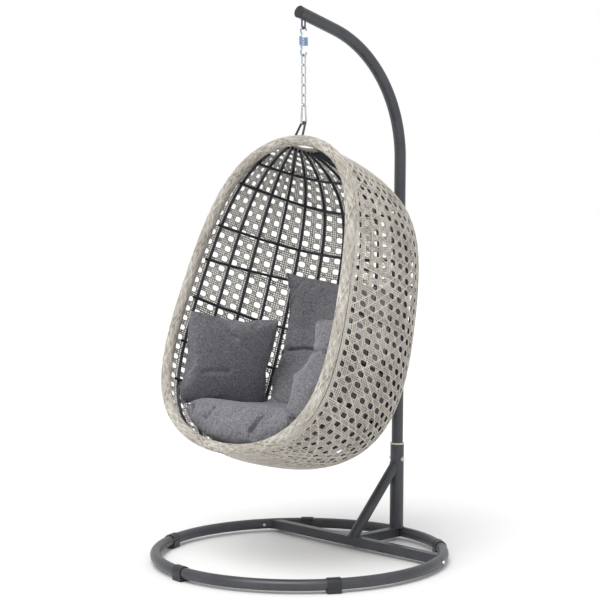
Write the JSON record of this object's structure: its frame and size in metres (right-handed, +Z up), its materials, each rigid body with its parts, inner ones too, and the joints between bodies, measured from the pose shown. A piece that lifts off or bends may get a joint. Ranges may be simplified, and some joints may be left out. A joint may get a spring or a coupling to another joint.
{
  "type": "hanging egg chair",
  "caption": "Hanging egg chair: a woven egg basket with grey cushions, hung by spring, chain and snap hook from a curved mast on a ring base.",
  "frame": {"origin": "on the floor under the centre of the ring base", "axes": "+Z up, the basket opens towards -Y, the mast stands at +Y, +X to the sitter's left"},
  "size_m": [1.05, 1.0597, 1.9367],
  "materials": {
    "frame_paint": "satin",
    "black_steel": "satin",
    "bare_steel": "satin",
    "zinc_steel": "satin",
    "blue_zinc": "satin",
    "cream_plastic": "satin",
    "black_plastic": "satin",
    "woven_cane": "satin",
    "grey_fabric": "matte",
    "pillow_fabric": "matte"
  },
  "bodies": {
    "stand": {"ring_front": "frame_paint", "ring_rear": "frame_paint", "ring_spigots": "bare_steel", "ring_bolts": "zinc_steel", "crossbar": "frame_paint", "link_bar": "frame_paint", "post_socket": "frame_paint", "brace_tube": "frame_paint", "post_bush": "cream_plastic", "mast_lower_bush": "cream_plastic", "mast_arm": "frame_paint", "arm_end_cap": "black_plastic", "mast_bolt": "zinc_steel", "mast_washers": "zinc_steel", "mast_nut": "zinc_steel", "hanger_eye": "frame_paint", "foot_1": "black_plastic", "foot_2": "black_plastic", "foot_3": "black_plastic", "foot_4": "black_plastic", "foot_5": "black_plastic"},
    "spring": {"spring": "blue_zinc"},
    "chain_upper": {"chain_link_1": "zinc_steel", "chain_link_2": "zinc_steel"},
    "chain_lower": {"chain_link_3": "zinc_steel", "chain_link_4": "zinc_steel"},
    "snap_hook": {"chain_link_5": "zinc_steel", "snap_body": "zinc_steel", "snap_gate_pin": "zinc_steel"},
    "snap_gate": {"snap_gate": "zinc_steel"},
    "basket": {"hanging_loop": "black_steel", "rim_tube": "black_steel", "rim_wrap": "woven_cane", "frame_ribs": "black_steel", "frame_hoops": "black_steel", "woven_shell": "woven_cane", "seat_cushion": "grey_fabric", "back_cushion": "grey_fabric", "seat_wing_right": "grey_fabric", "seat_wing_left": "grey_fabric", "throw_pillow": "pillow_fabric"}
  },
  "joints": [
    {"name": "chain_swing", "type": "hinge", "parent": "stand", "child": "spring", "pos_m": [0, 0.027, 1.858], "axis": [1, 0, 0], "range_deg": [-12, 2]},
    {"name": "spring_stretch", "type": "slide", "parent": "spring", "child": "chain_upper", "axis": [0, 0, -1], "range_m": [0, 0.02], "stiffness_N_per_m": 40000, "springref_m": -0.0115, "deforming": ["spring"]},
    {"name": "side_swing", "type": "hinge", "parent": "chain_upper", "child": "chain_lower", "pos_m": [0, 0.027, 1.6954], "axis": [0, 1, 0], "range_deg": [-8, 8]},
    {"name": "basket_swivel", "type": "hinge", "parent": "chain_lower", "child": "snap_hook", "pos_m": [0, 0.027, 1.6313], "axis": [0, 0, 1], "range_deg": [-30, 30]},
    {"name": "gate_open", "type": "hinge", "parent": "snap_hook", "child": "snap_gate", "pos_m": [0, 0.03756, 1.5429], "axis": [1, 0, 0], "range_deg": [0, 12], "stiffness_Nm_per_rad": 0.02, "springref_deg": -20.05},
    {"name": "basket_tilt", "type": "hinge", "parent": "snap_hook", "child": "basket", "pos_m": [0, 0.027, 1.5354], "axis": [1, 0, 0], "range_deg": [-8, 2]}
  ]
}
